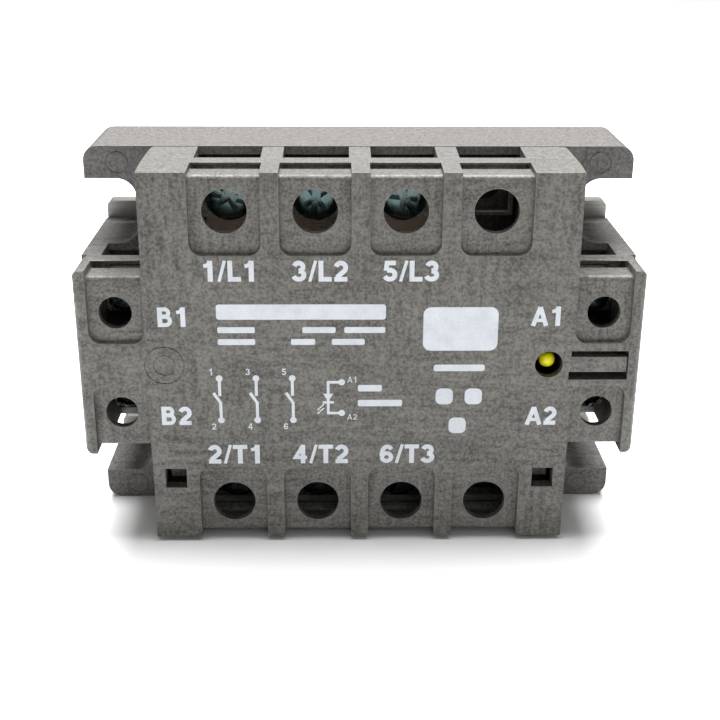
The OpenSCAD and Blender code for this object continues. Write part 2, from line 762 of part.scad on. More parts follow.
// Discs that stand on edge under the board, one between each two phases
module varistors() {
  color([0.16, 0.30, 0.60]) upright() for (i = phases) translate([cell_x(i) + cell_pitch / 2, 0, 0]) {
    translate([-disc_t / 2, 0, board_z - 1 - disc_d / 2]) rotate([0, 90, 0])
      cylinder(d = disc_d, h = disc_t);
    for (y = [-1.8, 1.8]) translate([0, y, board_z - 1.6]) cylinder(d = lead_d, h = 1.6);
  }
}

module snubber_resistors() {
  lift = 1.5;
  color([0.78, 0.68, 0.50]) upright() for (i = phases) translate([cell_x(i), -8.6, board_top]) {
    translate([-resistor_l / 2, 0, lift]) rotate([0, 90, 0]) cylinder(d = resistor_d, h = resistor_l);
    for (side = sides) translate([side * resistor_l / 2, 0, 0])
      centred(lead_d, lead_d, 0, lift + lead_d / 2);
  }
}

module snubber_capacitors()
  color([0.75, 0.35, 0.20]) upright() for (i = phases) translate([cell_x(i), 8.2, board_top])
    rounded(9, 3.4, 0.6, 0, 6);

module input_capacitor()
  color([0.18, 0.18, 0.22]) upright() translate([sensor_x + 1, -6.6, board_top])
    cylinder(d = 6.3, h = 7.4);

// Domed lens with a collar at its foot
module status_lamp() {
  r = lamp_d / 2;
  foot = lamp_top - lamp_l;
  color([0.93, 0.85, 0.10]) upright() translate([lamp_x, 0, 0]) {
    translate([0, 0, foot]) cylinder(r = r, h = lamp_l - r);
    translate([0, 0, foot]) cylinder(r = r + 0.35, h = 1);
    intersection() {
      translate([0, 0, lamp_top - r]) sphere(r);
      translate([0, 0, lamp_top - r]) cylinder(r = lamp_d, h = lamp_d);
    }
  }
}

module lamp_leads()
  color([0.80, 0.80, 0.80]) upright() for (side = sides)
    translate([lamp_x + side * lead_pitch / 2, 0, board_z - lead_end])
      cylinder(d = lead_d, h = lamp_top - lamp_l - board_z + lead_end);

cover();
base_frame();
base_plate();
potting_gel();
ceramic(0);  // ceramic_1
ceramic(1);  // ceramic_2
ceramic(2);  // ceramic_3
copper_pads(0);  // copper_pads_1
copper_pads(1);  // copper_pads_2
copper_pads(2);  // copper_pads_3
thyristors(0);  // thyristors_1
thyristors(1);  // thyristors_2
thyristors(2);  // thyristors_3
gate_pins();
temperature_sensor();
power_strap(0, 1);  // power_strap_l1
power_strap(1, 1);  // power_strap_l2
power_strap(2, 1);  // power_strap_l3
power_strap(0, -1);  // power_strap_t1
power_strap(1, -1);  // power_strap_t2
power_strap(2, -1);  // power_strap_t3
power_clamp(0, 1);  // power_clamp_l1
power_clamp(1, 1);  // power_clamp_l2
power_clamp(2, 1);  // power_clamp_l3
power_clamp(0, -1);  // power_clamp_t1
power_clamp(1, -1);  // power_clamp_t2
power_clamp(2, -1);  // power_clamp_t3
power_screw(0, 1);  // power_screw_l1
power_screw(1, 1);  // power_screw_l2
power_screw(2, 1);  // power_screw_l3
power_screw(0, -1);  // power_screw_t1
power_screw(1, -1);  // power_screw_t2
power_screw(2, -1);  // power_screw_t3
power_nuts();
control_strip(-1, 1);  // control_strip_b1
control_strip(-1, -1);  // control_strip_b2
control_strip(1, 1);  // control_strip_a1
control_strip(1, -1);  // control_strip_a2
control_clamp(-1, 1);  // control_clamp_b1
control_clamp(-1, -1);  // control_clamp_b2
control_clamp(1, 1);  // control_clamp_a1
control_clamp(1, -1);  // control_clamp_a2
control_screw(-1, 1);  // control_screw_b1
control_screw(-1, -1);  // control_screw_b2
control_screw(1, 1);  // control_screw_a1
control_screw(1, -1);  // control_screw_a2
control_nuts();
circuit_board();
optocouplers();
varistors();
snubber_resistors();
snubber_capacitors();
input_capacitor();
status_lamp();
lamp_leads();
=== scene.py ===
import logging
import math
from dataclasses import dataclass, field
from enum import Enum

import bmesh
import bpy
from mathutils import Matrix, Vector


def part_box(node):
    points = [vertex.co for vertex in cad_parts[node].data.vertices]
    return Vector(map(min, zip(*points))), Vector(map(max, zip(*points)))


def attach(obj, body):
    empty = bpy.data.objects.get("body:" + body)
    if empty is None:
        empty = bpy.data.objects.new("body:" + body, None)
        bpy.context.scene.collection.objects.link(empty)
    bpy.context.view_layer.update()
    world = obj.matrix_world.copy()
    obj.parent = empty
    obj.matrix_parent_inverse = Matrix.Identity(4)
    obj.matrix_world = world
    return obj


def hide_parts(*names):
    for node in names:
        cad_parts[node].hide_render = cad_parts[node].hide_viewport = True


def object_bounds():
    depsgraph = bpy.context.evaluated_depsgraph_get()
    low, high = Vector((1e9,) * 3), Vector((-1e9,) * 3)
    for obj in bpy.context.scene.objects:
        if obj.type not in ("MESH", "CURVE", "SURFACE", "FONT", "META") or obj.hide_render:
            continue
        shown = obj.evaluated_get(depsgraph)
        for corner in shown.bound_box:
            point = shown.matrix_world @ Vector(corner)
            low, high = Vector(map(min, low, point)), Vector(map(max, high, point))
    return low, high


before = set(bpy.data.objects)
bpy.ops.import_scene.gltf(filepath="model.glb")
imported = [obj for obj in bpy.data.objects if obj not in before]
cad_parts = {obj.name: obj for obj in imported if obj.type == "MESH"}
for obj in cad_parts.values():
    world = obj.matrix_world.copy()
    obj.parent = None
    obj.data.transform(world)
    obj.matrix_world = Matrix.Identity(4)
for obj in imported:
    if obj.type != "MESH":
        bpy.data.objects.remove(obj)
CAD_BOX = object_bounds()

MM = 0.001
log = logging.getLogger("relay")

PHASES = ("1", "2", "3")
POWER_TERMINALS = tuple(row + phase for row in ("l", "t") for phase in PHASES)
CONTROL_TERMINALS = ("b1", "b2", "a1", "a2")

Point = tuple[float, float]
Colour = tuple[float, float, float]
Material = bpy.types.Material
Mesh = bpy.types.Mesh
Node = bpy.types.Node
Piece = bpy.types.Object
Socket = bpy.types.NodeSocket


# ---------------------------------------------------------------- finishes


class Grain(Enum):
    """How a finish's fine pattern runs."""

    MOULDED = "moulded"      # fibre-filled plastic with short flow streaks
    BRUSHED = "brushed"      # long fine lines along x
    SPECKLED = "speckled"    # even fine speckle
    PLATED = "plated"        # blotchy film with drifting tints


@dataclass(frozen=True)
class Finish:
    """One surface finish: its colours, its gloss and the scale of its detail.

    Scales are in cycles per metre; depths are in metres.
    """

    name: str
    colour: Colour
    second: Colour
    roughness: float = 0.5
    rough_spread: float = 0.08
    metallic: float = 0.0
    grain: Grain = Grain.SPECKLED
    scale: float = 900.0
    bump: float = 0.3
    bump_depth: float = 0.00002
    # how strongly rounded edges are lightened, a painted highlight
    edge: float = 0.0
    coat: float = 0.0
    transmission: float = 0.0
    subsurface: float = 0.0


# edge=0.14 on both plastics paints a highlight along their rounded edges
COVER_PLASTIC = Finish("cover_plastic", (0.165, 0.158, 0.140), (0.034, 0.032, 0.028), 0.52, 0.12,
                       grain=Grain.MOULDED, scale=1500.0, bump=0.45, edge=0.14)
FRAME_PLASTIC = Finish("frame_plastic", (0.168, 0.157, 0.148), (0.044, 0.041, 0.040), 0.50, 0.12,
                       grain=Grain.MOULDED, scale=1300.0, bump=0.45, edge=0.14)
NICKEL = Finish("nickel_plate", (0.33, 0.32, 0.30), (0.24, 0.235, 0.22), 0.42, 0.12, 1.0,
                Grain.BRUSHED, 700.0, 0.12, 0.00001)
# The zinc is darkened to near black with a blue-green tint: painted shade and painted reflection of
# the deep screw holes.
ZINC_WITH_PAINTED_SHADE = Finish("zinc_screw", (0.050, 0.098, 0.104), (0.130, 0.150, 0.140), 0.20, 0.05, 1.0,
              Grain.PLATED, 260.0, 0.06, 0.00001)
TIN = Finish("tinned_metal", (0.80, 0.78, 0.71), (0.62, 0.60, 0.54), 0.30, 0.12, 1.0,
             Grain.PLATED, 1100.0, 0.15, 0.00001)
TINNED_COPPER = Finish("copper_strap", (0.76, 0.66, 0.56), (0.68, 0.50, 0.38), 0.32, 0.12, 1.0,
                       Grain.BRUSHED, 900.0, 0.15, 0.00001)
COPPER = Finish("copper", (0.72, 0.38, 0.24), (0.55, 0.27, 0.17), 0.36, 0.12, 1.0,
                Grain.PLATED, 800.0, 0.15, 0.00001)
SOLDER = Finish("solder", (0.74, 0.73, 0.70), (0.60, 0.59, 0.57), 0.28, 0.10, 1.0,
                Grain.PLATED, 1500.0, 0.25, 0.00002)
CERAMIC = Finish("ceramic", (0.86, 0.86, 0.83), (0.78, 0.78, 0.75), 0.42,
                 scale=4000.0, bump=0.15)
SILICON = Finish("silicon", (0.055, 0.055, 0.075), (0.035, 0.035, 0.060), 0.18, 0.06,
                 grain=Grain.PLATED, scale=600.0, bump=0.05)
GEL = Finish("gel", (0.80, 0.84, 0.86), (0.72, 0.77, 0.80), 0.08, 0.04,
             grain=Grain.PLATED, scale=150.0, bump=0.08, bump_depth=0.0001, transmission=0.85)
MASK = Finish("board", (0.030, 0.170, 0.075), (0.020, 0.120, 0.055), 0.30,
              scale=2500.0, bump=0.10, coat=0.3)
WHITE_EPOXY = Finish("white_package", (0.78, 0.78, 0.74), (0.68, 0.68, 0.64), 0.48, 0.10,
                     scale=3500.0, bump=0.20)
BLUE_EPOXY = Finish("blue_epoxy", (0.035, 0.110, 0.300), (0.025, 0.080, 0.230), 0.26,
                    scale=1200.0, bump=0.25, coat=0.4)
BROWN_EPOXY = Finish("brown_epoxy", (0.420, 0.130, 0.045), (0.340, 0.100, 0.035), 0.34,
                     scale=1800.0, bump=0.20, coat=0.2)
BLACK_EPOXY = Finish("black_epoxy", (0.030, 0.030, 0.032), (0.018, 0.018, 0.020), 0.38,
                     scale=2500.0, bump=0.20)
BEIGE_LACQUER = Finish("beige_lacquer", (0.560, 0.440, 0.270), (0.470, 0.360, 0.220), 0.36,
                       scale=2200.0, bump=0.15)
SLEEVE = Finish("capacitor_sleeve", (0.020, 0.022, 0.040), (0.012, 0.014, 0.028), 0.28, 0.06,
                scale=1500.0, bump=0.10, coat=0.3)
YELLOW_LENS = Finish("yellow_lens", (0.84, 0.82, 0.012), (0.78, 0.74, 0.008), 0.16, 0.05,
                     grain=Grain.PLATED, scale=500.0, bump=0.04, subsurface=0.35)
PRINT_INK = Finish("print_ink", (0.66, 0.70, 0.74), (0.50, 0.53, 0.57), 0.60,
                   scale=5000.0, bump=0.25)
TABLE = Finish("table_top", (0.94, 0.94, 0.94), (0.92, 0.92, 0.92), 0.55, 0.05,
               scale=40.0, bump=0.0)


class NodeWork:
    """Adds and links the nodes of one tree."""

    def __init__(self, tree: bpy.types.NodeTree) -> None:
        """Takes the tree to work on."""
        self.tree = tree

    def add(self, kind: str, options: dict[str, object] | None = None, **inputs: object) -> Node:
        """Adds a node.

        Args:
            kind: the node's type.
            options: properties of the node itself.
            inputs: values or sockets, by the input's name with _ for each space.

        Returns:
            The new node.
        """
        node = self.tree.nodes.new(kind)
        for label, value in (options or {}).items():
            setattr(node, label, value)
        for label, value in inputs.items():
            self.feed(node.inputs[label.replace("_", " ")], value)
        return node

    def feed(self, socket: Socket, value: object) -> None:
        """Links a socket, or sets a value, on an input.

        Args:
            socket: the input.
            value: a socket, a node whose first output is meant, or a plain value.
        """
        if isinstance(value, Node):
            value = value.outputs[0]
        if isinstance(value, Socket):
            self.tree.links.new(value, socket)
        else:
            socket.default_value = value

    def math(self, operation: str, *terms: object) -> Socket:
        """The result of a maths node that is fed its terms in order."""
        node = self.add("ShaderNodeMath", {"operation": operation})
        for socket, term in zip(node.inputs, terms):
            self.feed(socket, term)
        return node.outputs[0]

    def times(self, a: object, b: object) -> Socket:
        """The product of two values or sockets."""
        return self.math("MULTIPLY", a, b)


class Surface(NodeWork):
    """The node material of one finish, with its pattern over object space."""

    fine_share = 0.55                    # how far the fine pattern sets the colour
    level_streaks = (0.22, 1.0, 1.35)    # how fast each pattern runs along x, y and z
    upright_streaks = (1.35, 1.0, 0.25)
    brush_lines = (0.04, 6.0, 6.0)
    even = (1.0, 1.0, 1.0)
    painted_edge_highlight = (0.50, 0.49, 0.46, 1.0)     # the colour of the highlight painted along rounded plastic edges
    glow_reach = 0.8 * MM                # how far light spreads inside a lens

    def __init__(self, finish: Finish) -> None:
        """Builds the material.

        Args:
            finish: the colours, gloss and grain to build.
        """
        self.finish = finish
        self.material = bpy.data.materials.new(finish.name)
        self.material.use_nodes = True
        super().__init__(self.material.node_tree)
        self.position = self.add("ShaderNodeTexCoord").outputs["Object"]
        broad, fine = self._pattern()
        colour = self._mix_colour(self._mix(broad, fine, self.fine_share), (*finish.colour, 1.0),
                                  (*finish.second, 1.0))
        # rounded edges are lightened as a painted highlight
        if finish.edge > 0.0:
            colour = self._paint_edge_highlights(colour, fine)
        rough = self.add("ShaderNodeMapRange", Value=broad,
                         To_Min=finish.roughness - finish.rough_spread,
                         To_Max=finish.roughness + finish.rough_spread)
        shader = self.tree.nodes["Principled BSDF"]
        for label, value in (("Base Color", colour), ("Roughness", rough),
                             ("Metallic", finish.metallic), ("Coat Weight", finish.coat),
                             ("Transmission Weight", finish.transmission),
                             ("Subsurface Weight", finish.subsurface),
                             ("Subsurface Scale", self.glow_reach)):
            self.feed(shader.inputs[label], value)
        if finish.bump > 0.0:
            bump = self.add("ShaderNodeBump", Strength=finish.bump, Distance=finish.bump_depth,
                            Height=fine)
            self.feed(shader.inputs["Normal"], bump)

    def _noise(self, scale: float, stretch: tuple[float, float, float] = even,
               detail: float = 2.0, warp: float = 0.0) -> Socket:
        """A noise value over object space.

        Args:
            scale: cycles per metre.
            stretch: how much faster the pattern runs along each axis.
            detail: octaves of finer noise.
            warp: how far the pattern is distorted by itself.

        Returns:
            The noise value socket.
        """
        place = self.add("ShaderNodeMapping", Vector=self.position,
                         Scale=[scale * part for part in stretch])
        return self.add("ShaderNodeTexNoise", Vector=place, Scale=1.0, Detail=detail,
                        Distortion=warp).outputs["Fac"]

    def _contrast(self, value: Socket, low: float, high: float) -> Socket:
        """Stretches the range between low and high to 0 and 1."""
        spread = self.add("ShaderNodeMapRange", Value=value, From_Min=low, From_Max=high)
        return spread.outputs["Result"]

    def _mix(self, a: Socket, b: Socket, share: float | Socket) -> Socket:
        """Mixes two values, with a at share 0 and b at share 1."""
        return self.add("ShaderNodeMix", Factor=share, A=a, B=b).outputs["Result"]

    def _mix_colour(self, share: Socket, first: object, second: object) -> Socket:
        """A colour that runs from the first to the second as share rises.

        Args:
            share: the value socket that drives the mix.
            first: the colour, or colour socket, at 0.
            second: the colour, or colour socket, at 1.

        Returns:
            The colour socket.
        """
        mix = self.add("ShaderNodeMix", {"data_type": "RGBA"})
        for index, value in ((0, share), (6, first), (7, second)):
            self.feed(mix.inputs[index], value)
        return mix.outputs[2]

    def _pattern(self) -> tuple[Socket, Socket]:
        """The broad and the fine variation of the finish.

        Returns:
            A broad value, for colour and gloss, and a fine one, for colour and bump.
        """
        scale = self.finish.scale
        if self.finish.grain is Grain.MOULDED:
            level = self._noise(scale * 0.5, self.level_streaks, 3.0, 0.5)
            upright = self._noise(scale * 0.5, self.upright_streaks, 3.0, 0.5)
            drift = self._contrast(self._noise(45.0), 0.42, 0.62)
            streaks = self._contrast(self._mix(level, upright, drift), 0.40, 0.62)
            specks = self._contrast(self._noise(scale * 1.35, detail=4.0), 0.40, 0.62)
            cloud = self._contrast(self._noise(110.0, detail=4.0), 0.25, 0.75)
            return self._mix(cloud, streaks, 0.62), specks
        if self.finish.grain is Grain.BRUSHED:
            lines = self._contrast(self._noise(scale, self.brush_lines, 4.0), 0.30, 0.70)
            cloud = self._contrast(self._noise(90.0), 0.30, 0.70)
            return self._mix(cloud, lines, 0.35), lines
        if self.finish.grain is Grain.PLATED:
            drift = self._contrast(self._noise(scale, warp=1.5), 0.36, 0.64)
            return drift, self._contrast(self._noise(scale * 7.0, detail=3.0), 0.30, 0.70)
        specks = self._contrast(self._noise(scale, detail=3.0), 0.32, 0.68)
        return self._contrast(self._noise(scale * 0.08), 0.30, 0.70), specks

    def _paint_edge_highlights(self, colour: Socket, fine: Socket) -> Socket:
        """Lightens the rounded edges as a painted highlight; the piece marks them in its attribute
        named edge.

        Args:
            colour: the colour so far.
            fine: the fine variation, which breaks the painted highlight line up.

        Returns:
            The colour socket with the painted edge highlights.
        """
        edge = self.add("ShaderNodeAttribute", {"attribute_name": "edge"})
        share = self.times(edge.outputs["Fac"], self._contrast(fine, -0.6, 1.0))
        return self._mix_colour(self.times(share, self.finish.edge), colour, self.painted_edge_highlight)


class MaterialShop:
    """Makes each finish's node material once and hands it out again."""

    def __init__(self) -> None:
        """Starts with no materials."""
        self.made: dict[str, Material] = {}

    def get(self, finish: Finish) -> Material:
        """The material of a finish, made when it is first asked for."""
        if finish.name not in self.made:
            self.made[finish.name] = Surface(finish).material
        return self.made[finish.name]


# ---------------------------------------------------------------- mesh helpers


def mesh_object(name: str, mesh: Mesh) -> Piece:
    """Links a new object at the origin that shows a mesh, which is already in place."""
    made = bpy.data.objects.new(name, mesh)
    bpy.context.scene.collection.objects.link(made)
    return made


def paint(mesh: Mesh, material: Material) -> None:
    """Gives a mesh one finish and no other."""
    mesh.materials.clear()
    mesh.materials.append(material)


def end_mesh(shape: bmesh.types.BMesh, name: str) -> Mesh:
    """Turns an edit mesh into a mesh and frees it."""
    mesh = bpy.data.meshes.new(name)
    shape.to_mesh(mesh)
    shape.free()
    return mesh


def plain_mesh(source: Piece, name: str, place: Matrix | None = None
               ) -> Piece:
    """Turns an object with modifiers or a curve into a plain mesh piece, and removes it.

    Args:
        source: the object to evaluate.
        name: the name of the piece that stays.
        place: a matrix that puts the mesh where it belongs.

    Returns:
        The plain mesh piece.
    """
    bpy.context.view_layer.update()
    evaluated = source.evaluated_get(bpy.context.evaluated_depsgraph_get())
    mesh = bpy.data.meshes.new_from_object(evaluated)
    if place is not None:
        mesh.transform(place)
    bpy.data.objects.remove(source)
    mesh.name = name
    return mesh_object(name, mesh)


@dataclass
class Rounding:
    """Rounds the sharp edges of a copy of a CAD node."""

    width: float = 0.25 * MM
    segments: int = 2
    sharp: float = math.radians(38.0)
    shortest: float = 0.0
    room: float = 1.6                   # an edge shorter than this many widths stays as it is
    merge: float = 0.002 * MM
    flat: float = math.radians(0.6)     # faces that turn less than this are one face
    smooth: float = math.radians(32.0)

    def copy(self, node: str, material: Material) -> Piece:
        """Copies a CAD node, joins its triangles and rounds its outer edges.

        Args:
            node: the CAD node's name.
            material: the finish of the copy.

        Returns:
            The rounded piece, with its rounded faces marked in the attribute named edge.
        """
        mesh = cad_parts[node].data.copy()
        paint(mesh, material)
        shape = bmesh.new()
        shape.from_mesh(mesh)
        bmesh.ops.remove_doubles(shape, verts=shape.verts, dist=self.merge)
        bmesh.ops.dissolve_limit(shape, angle_limit=self.flat, verts=shape.verts,
                                 edges=shape.edges, delimit=set())
        edge_mark = shape.faces.layers.float.new("edge_face")
        chosen = [edge for edge in shape.edges if self._wanted(edge)]
        made = bmesh.ops.bevel(shape, geom=chosen, offset=self.width, offset_type="OFFSET",
                               segments=self.segments, profile=0.5, affect="EDGES",
                               clamp_overlap=False, miter_outer="SHARP", miter_inner="SHARP")
        for face in made["faces"]:
            face[edge_mark] = 1.0
        shape.normal_update()
        shape.to_mesh(mesh)
        shape.free()
        self._spread_mark(mesh)
        piece = mesh_object(node + "_body", mesh)
        mesh.shade_smooth()
        mesh.set_sharp_from_angle(angle=self.smooth)
        weighted = piece.modifiers.new("even shading", "WEIGHTED_NORMAL")
        weighted.keep_sharp = True
        return plain_mesh(piece, node + "_shell")

    def _wanted(self, edge: bmesh.types.BMEdge) -> bool:
        """Whether an edge is an outer corner that gets rounded."""
        if len(edge.link_faces) != 2 or edge.calc_length() < self.shortest:
            return False
        if not edge.is_convex or self._crowded(edge):
            return False
        return edge.calc_face_angle(0.0) > self.sharp

    def _crowded(self, edge: bmesh.types.BMEdge) -> bool:
        """Whether an edge that it meets is too short for the rounding to fit."""
        room = self.width * self.room
        return any(other.calc_length() < room for vertex in edge.verts
                   for other in vertex.link_edges if other is not edge)

    @staticmethod
    def _spread_mark(mesh: Mesh) -> None:
        """Copies the face mark to the corners, where the finish reads it."""
        faces = mesh.attributes["edge_face"]
        corners = mesh.attributes.new("edge", "FLOAT", "CORNER")
        for polygon in mesh.polygons:
            value = faces.data[polygon.index].value
            for corner in polygon.loop_indices:
                corners.data[corner].value = value


def dress_node(node: str, material: Material) -> None:
    """Gives a CAD node that stays its finish."""
    paint(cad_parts[node].data, material)


def settle(piece: Piece, body: str, slot: str, *nodes: str) -> None:
    """Lets a piece ride on its body and hides the CAD nodes it stands in for.

    Args:
        piece: the finished piece.
        body: the CAD body it moves with.
        slot: not used.
        nodes: the CAD nodes it replaces, if any.
    """
    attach(piece, body)
    if nodes:
        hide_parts(*nodes)
    log.info("%s rides on %s with %d faces", piece.name, body, len(piece.data.polygons))


# ---------------------------------------------------------------- geometry node helper


class Recipe(NodeWork):
    """A geometry node tree with named inputs, which makes one kind of piece."""

    def __init__(self, name: str, **inputs: float) -> None:
        """Starts a tree.

        Args:
            name: the tree's name.
            inputs: each input's name and its usual value.
        """
        super().__init__(bpy.data.node_groups.new(name, "GeometryNodeTree"))
        self.tree.interface.new_socket("Geometry", in_out="OUTPUT",
                                       socket_type="NodeSocketGeometry")
        for label, value in inputs.items():
            socket = self.tree.interface.new_socket(label, in_out="INPUT",
                                                    socket_type="NodeSocketFloat")
            socket.default_value = value
        finish = self.tree.interface.new_socket("Finish", in_out="INPUT",
                                                socket_type="NodeSocketMaterial")
        self.finish_id = finish.identifier
        self.start = self.tree.nodes.new("NodeGroupInput")
        self.end = self.tree.nodes.new("NodeGroupOutput")

    def size(self, label: str) -> Socket:
        """The socket of a named input."""
        return self.start.outputs[label]

    def vector(self, x: object = 0.0, y: object = 0.0, z: object = 0.0) -> Socket:
        """A vector from three values or sockets."""
        return self.add("ShaderNodeCombineXYZ", X=x, Y=y, Z=z).outputs[0]

    def block(self, width: object, depth: object, height: object, place: object = None,
              turn: object = None) -> Socket:
        """A block centred on its place.

        Args:
            width, depth, height: its size along x, y and z.
            place: its centre, or None for the origin.
            turn: its rotation, or None.

        Returns:
            The geometry socket.
        """
        cube = self.add("GeometryNodeMeshCube", Size=self.vector(width, depth, height))
        moved = self.add("GeometryNodeTransform", Geometry=cube)
        if place is not None:
            self.feed(moved.inputs["Translation"], place)
        if turn is not None:
            self.feed(moved.inputs["Rotation"], turn)
        return moved.outputs[0]

    def join(self, *parts: object) -> Socket:
        """Joins geometry sockets into one."""
        node = self.tree.nodes.new("GeometryNodeJoinGeometry")
        for part in parts:
            self.feed(node.inputs[0], part)
        return node.outputs[0]

    def finish(self, geometry: object, smooth: float | None = None) -> None:
        """Ends the tree with real geometry and a material.

        Args:
            geometry: the geometry to end with.
            smooth: the angle under which edges are shaded smooth, or None for flat.
        """
        real = self.add("GeometryNodeRealizeInstances", Geometry=geometry)
        dressed = self.add("GeometryNodeSetMaterial", Geometry=real,
                           Material=self.start.outputs["Finish"])
        if smooth is not None:
            angle = self.add("GeometryNodeInputMeshEdgeAngle")
            flat = self.math("GREATER_THAN", angle.outputs["Unsigned Angle"], smooth)
            soft = self.add("GeometryNodeSetShadeSmooth", {"domain": "FACE"}, Geometry=dressed)
            sharp = self.add("GeometryNodeSetShadeSmooth", {"domain": "EDGE"}, Geometry=soft)
            self.feed(sharp.inputs["Selection"], flat)
            self.feed(sharp.inputs["Shade Smooth"], False)
            dressed = sharp
        self.feed(self.end.inputs["Geometry"], dressed)

    def make(self, name: str, material: Material, place: Matrix,
             **sizes: float) -> Piece:
        """Runs the tree once and keeps the result as a plain mesh.

        Args:
            name: the piece's name.
            material: its finish.
            place: where its own origin and axes go.
            sizes: values for named inputs, with _ for each space.

        Returns:
            The plain mesh piece.
        """
        seed = mesh_object(name + "_recipe", bpy.data.meshes.new(name + "_recipe"))
        modifier = seed.modifiers.new("recipe", "NODES")
        modifier.node_group = self.tree
        for item in self.tree.interface.items_tree:
            label = item.name.replace(" ", "_")
            if item.in_out == "INPUT" and label in sizes:
                modifier[item.identifier] = float(sizes[label])
        modifier[self.finish_id] = material
        return plain_mesh(seed, name, place)


def out_of_front(x: float, y: float, z: float) -> Matrix:
    """A matrix that turns z up to point out of the relay's front, with x to the right.

    Args:
        x, y, z: where the piece's own origin goes, in the row frame.

    Returns:
        The placing matrix.
    """
    return Matrix.Translation((x, y, z)) @ Matrix.Rotation(math.radians(90.0), 4, "X")


# ---------------------------------------------------------------- housing


@dataclass
class Housing:
    """The snapped-on cover and the frame behind it, with rounded edges."""

    shop: MaterialShop
    edge: float = 0.12 * MM

    def build(self) -> None:
        """Makes both shells and lets them stand for their nodes."""
        rounding = Rounding(self.edge)
        for node, finish in (("cover", COVER_PLASTIC), ("base_frame", FRAME_PLASTIC)):
            settle(rounding.copy(node, self.shop.get(finish)), "root", finish.name, node)


@dataclass
class BasePlate:
    """The metal plate on the relay's back, with broken edges."""

    shop: MaterialShop
    edge: float = 0.3 * MM

    def build(self) -> None:
        """Makes the plate with its chamfers."""
        plate = Rounding(self.edge, segments=1).copy("base_plate", self.shop.get(NICKEL))
        settle(plate, "root", "nickel_plate", "base_plate")


# ---------------------------------------------------------------- terminals


@dataclass(frozen=True)
class ScrewSize:
    """The sizes of one size of terminal screw."""

    shank_d: float
    length: float
    head_d: float
    head_h: float
    pitch: float


POWER_SCREW = ScrewSize(4.9 * MM, 11.0 * MM, 9.2 * MM, 3.0 * MM, 0.8 * MM)
CONTROL_SCREW = ScrewSize(2.9 * MM, 8.0 * MM, 5.6 * MM, 2.2 * MM, 0.5 * MM)
# Direction of each screw's slot, in degrees from level
SLOT_TURN = {"l1": -14, "l2": 80, "l3": -52, "t1": 24, "t2": 8, "t3": 62,
             "b1": 35, "b2": 0, "a1": -20, "a2": 90}


